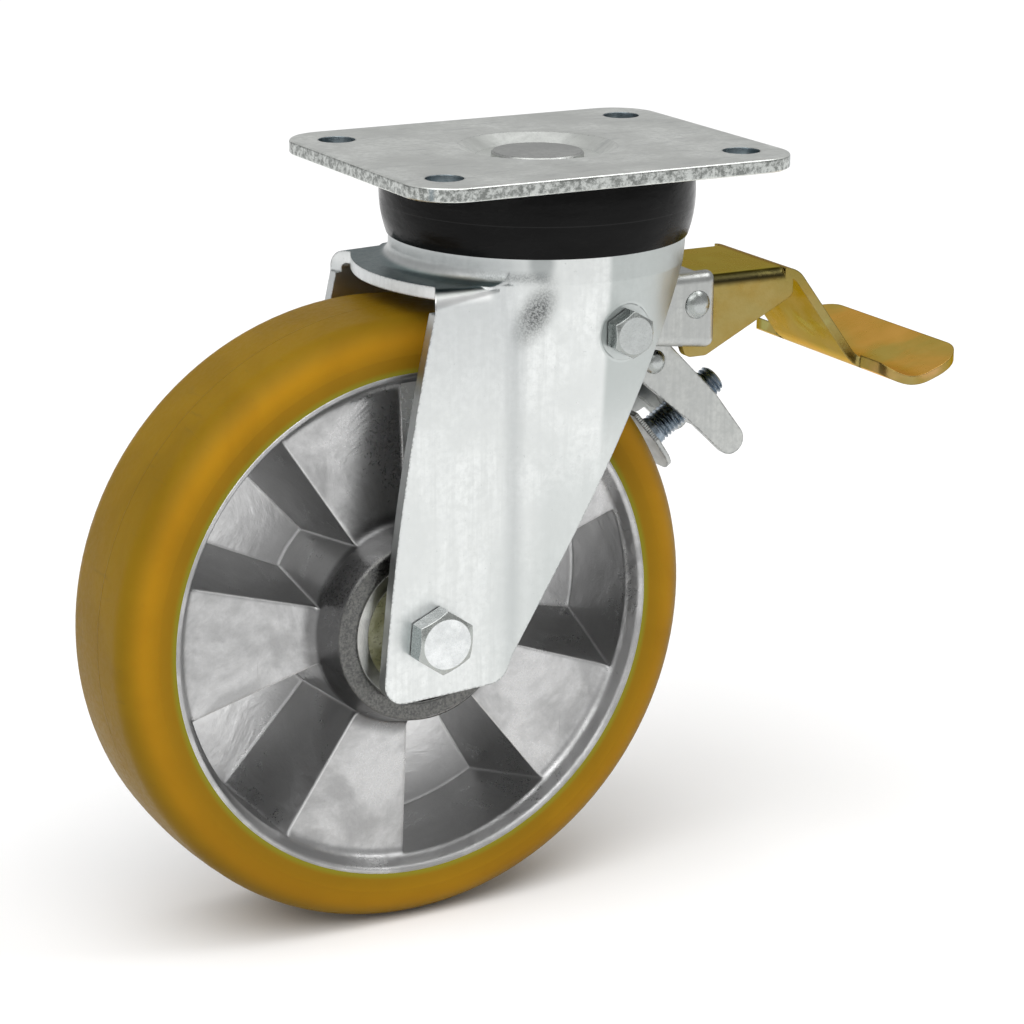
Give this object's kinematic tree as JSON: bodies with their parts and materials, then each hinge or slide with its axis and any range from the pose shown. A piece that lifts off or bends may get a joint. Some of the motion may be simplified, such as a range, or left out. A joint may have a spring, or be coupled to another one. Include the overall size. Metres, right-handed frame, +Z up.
{
  "type": "swivel castor",
  "caption": "Swivel castor with top plate, pressed fork, cast rim with amber tyre, ball-bearing swivel head and foot-operated wheel brake.",
  "frame": {"origin": "centre of the top plate's upper face, on the swivel axis", "axes": "+Z up, along the swivel axis; +X from the swivel axis towards the brake pedal; Y along the wheel's axle, with the bolt heads on -Y"},
  "size_m": [0.2949, 0.1118, 0.245],
  "materials": {
    "zinc_sheet": "satin bright zinc",
    "zinc_bolt": "bright zinc",
    "dark_steel": "dark zinc thread",
    "bearing_steel": "ground steel",
    "shield": "greased sheet steel",
    "cast_aluminium": "as-cast aluminium",
    "tyre": "satin amber polyurethane",
    "seal": "glossy black",
    "gold_zinc": "yellow passivated zinc"
  },
  "bodies": {
    "plate": {"top_plate": "zinc_sheet", "kingpin": "zinc_bolt", "upper_race": "bearing_steel", "lower_race": "bearing_steel", "kingpin_nut": "zinc_bolt"},
    "fork": {"fork": "zinc_sheet", "fork_upper_track": "bearing_steel", "fork_lower_track": "bearing_steel", "upper_balls": "bearing_steel", "lower_balls": "bearing_steel", "seal_ring": "seal", "near_inner_ring": "bearing_steel", "far_inner_ring": "bearing_steel", "near_spacer": "bearing_steel", "far_spacer": "bearing_steel", "bearing_spacer": "bearing_steel", "axle_tube": "bearing_steel", "axle_bolt": "zinc_bolt", "axle_washer": "zinc_bolt", "axle_nut": "zinc_bolt", "pivot_bolt": "zinc_bolt", "pivot_washer": "zinc_bolt", "pivot_nut": "zinc_bolt", "pivot_tube": "bearing_steel"},
    "wheel": {"rim": "cast_aluminium", "tyre": "tyre", "near_outer_ring": "bearing_steel", "far_outer_ring": "bearing_steel", "near_bearing_balls": "bearing_steel", "far_bearing_balls": "bearing_steel", "near_bearing_shield": "shield", "far_bearing_shield": "shield"},
    "brake_arm": {"brake_bracket": "zinc_sheet", "pedal_pin": "zinc_bolt", "shoe_carrier": "zinc_sheet", "lever_pin": "zinc_bolt", "brake_shoe": "zinc_sheet", "adjusting_screw": "dark_steel", "screw_nut": "dark_steel", "return_spring": "dark_steel"},
    "pedal": {"brake_pedal": "gold_zinc"},
    "release_levers": {"near_release_lever": "zinc_sheet", "far_release_lever": "zinc_sheet"}
  },
  "joints": [
    {"name": "swivel_turn", "type": "hinge", "parent": "plate", "child": "fork", "pos_m": [0, 0, 0], "axis": [0, 0, 1], "continuous": true},
    {"name": "wheel_spin", "type": "hinge", "parent": "fork", "child": "wheel", "pos_m": [-0.055, 0, -0.145], "axis": [0, 1, 0], "continuous": true},
    {"name": "brake_swing", "type": "hinge", "parent": "fork", "child": "brake_arm", "pos_m": [0.0068, 0, -0.0519], "axis": [0, 1, 0], "range_deg": [0, 2.1]},
    {"name": "pedal_press", "type": "hinge", "parent": "brake_arm", "child": "pedal", "pos_m": [0.0454, 0, -0.0514], "axis": [0, 1, 0], "range_deg": [0, 15], "stiffness_Nm_per_rad": 1.5, "springref_deg": -17.19},
    {"name": "lever_flip", "type": "hinge", "parent": "brake_arm", "child": "release_levers", "pos_m": [0.0336, 0, -0.0704], "axis": [0, 1, 0], "range_deg": [-12, 0], "stiffness_Nm_per_rad": 0.2, "springref_deg": 17.19}
  ],
  "couplings": [
    {"joint": "brake_swing", "follows": "pedal_press", "ratio": 0.14}
  ]
}
